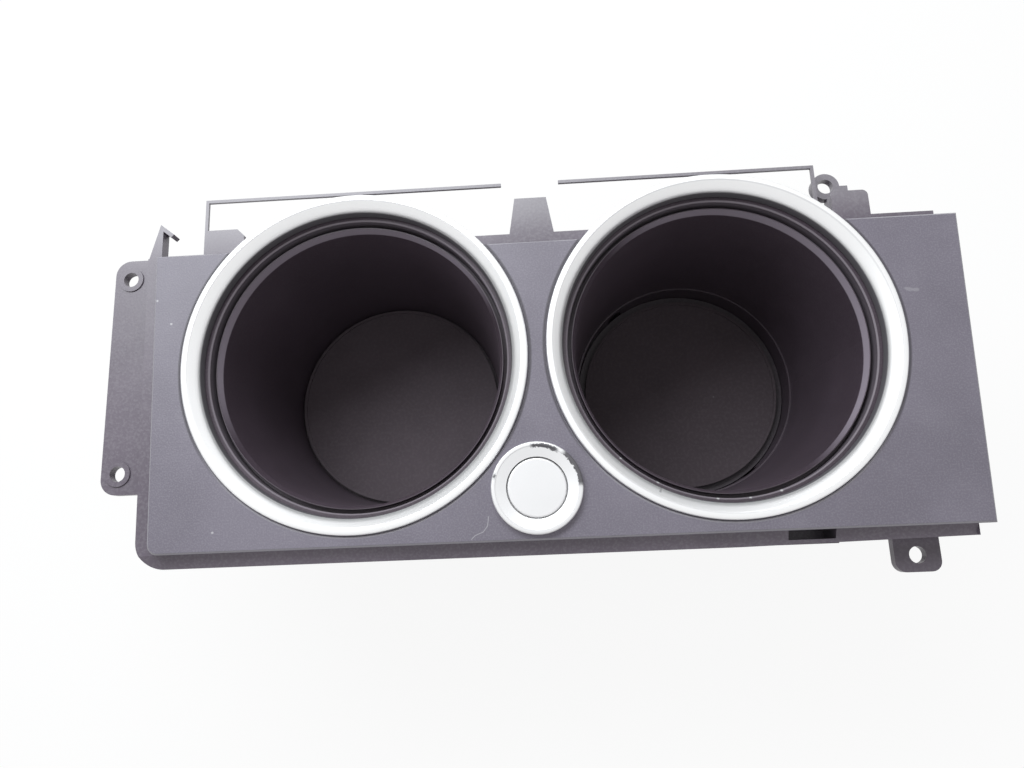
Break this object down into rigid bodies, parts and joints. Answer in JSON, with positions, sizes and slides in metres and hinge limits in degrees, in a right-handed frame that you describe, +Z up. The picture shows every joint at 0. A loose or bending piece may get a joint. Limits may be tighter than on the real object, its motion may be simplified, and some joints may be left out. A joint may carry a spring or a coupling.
{
  "type": "car cup holder",
  "caption": "Console cup holder insert: charcoal panel with deep round wells, silver trim rings, and a push button that frees a spring-lifted floor in one well.",
  "frame": {"origin": "on the standing plane, at the middle of the whole part's footprint", "axes": "+X along the panel from the screw flange to the plain end, +Y to the rear arms, +Z up out of the cups"},
  "size_m": [0.2404, 0.1144, 0.0941],
  "materials": {
    "charcoal_plastic": "fine moulded grain",
    "black_plastic": "satin moulded",
    "silver_finish": "satin silver paint, chipped at the bezel",
    "mat_rubber": "matt",
    "spring_steel": "bright zinc",
    "rod_plastic": "natural acetal"
  },
  "bodies": {
    "housing": {"base_cover": "black_plastic", "button_bezel": "silver_finish", "button_guide": "black_plastic", "button_spring": "spring_steel", "carrier_frame": "charcoal_plastic", "catch_screw": "spring_steel", "catch_spring": "spring_steel", "cover_screws": "spring_steel", "guide_screws": "spring_steel", "lift_spring": "spring_steel", "mat_left": "mat_rubber", "panel_screws": "spring_steel", "ring_left": "silver_finish", "ring_right": "silver_finish", "top_panel": "charcoal_plastic", "well_left": "black_plastic", "well_right": "black_plastic", "well_screws": "spring_steel"},
    "button": {"button_cap": "silver_finish", "push_rod": "rod_plastic"},
    "lifting_floor": {"floor_platform": "black_plastic", "mat_right": "mat_rubber"}
  },
  "joints": [
    {"name": "button_press", "type": "slide", "parent": "housing", "child": "button", "axis": [0, 0, -1], "range_m": [0, 0.003], "stiffness_N_per_m": 600, "springref_m": -0.004, "deforming": ["button_spring", "catch_spring"]},
    {"name": "floor_lift", "type": "slide", "parent": "housing", "child": "lifting_floor", "axis": [0, 0, 1], "range_m": [0, 0.018], "deforming": ["lift_spring", "catch_spring"]}
  ]
}
